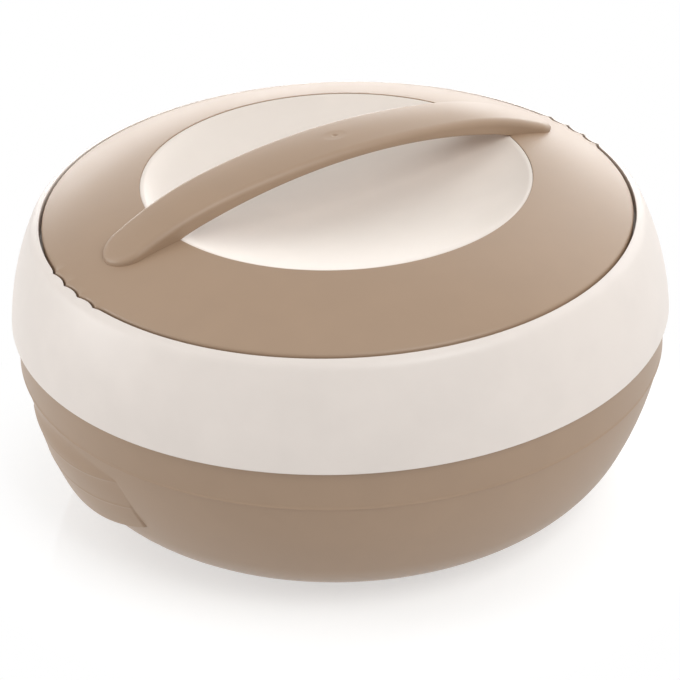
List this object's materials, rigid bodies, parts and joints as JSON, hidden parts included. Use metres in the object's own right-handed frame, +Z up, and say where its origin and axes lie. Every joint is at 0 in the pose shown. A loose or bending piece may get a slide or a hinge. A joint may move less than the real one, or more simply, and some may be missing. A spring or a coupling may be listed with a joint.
{
  "type": "insulated food warmer",
  "caption": "Round insulated serving pot with a steel bowl, foam-filled walls and a lift-off lid with an arched strap handle over a shallow dish.",
  "frame": {"origin": "on the floor plane under the feet, at the pot's vertical axis, which is the centre of the bounding box's bottom face", "axes": "+Z up; +X along the handle and through both finger grips; +Y across the handle"},
  "size_m": [0.297, 0.297, 0.1665],
  "materials": {
    "tan_plastic": "satin",
    "cream_plastic": "satin",
    "bowl_steel": "brushed",
    "screw_steel": "plated",
    "silicone": "matte",
    "foot_rubber": "matte",
    "foam": "matte foam"
  },
  "bodies": {
    "base": {"base_shell": "tan_plastic", "collar": "cream_plastic", "inner_bowl": "bowl_steel", "bowl_gasket": "silicone", "base_insulation": "foam", "filling_plug": "tan_plastic", "rubber_feet": "foot_rubber"},
    "lid": {"lid_ring": "tan_plastic", "lid_dish": "cream_plastic", "lid_handle": "tan_plastic", "handle_screws": "screw_steel", "screw_washers": "screw_steel", "lid_under_ring": "cream_plastic", "lid_seal": "silicone", "lid_liner": "bowl_steel", "lid_insulation": "foam"}
  },
  "joints": [
    {"name": "lid_lift", "type": "slide", "parent": "base", "child": "lid", "axis": [0, 0, 1], "range_m": [0, 0.08]}
  ]
}
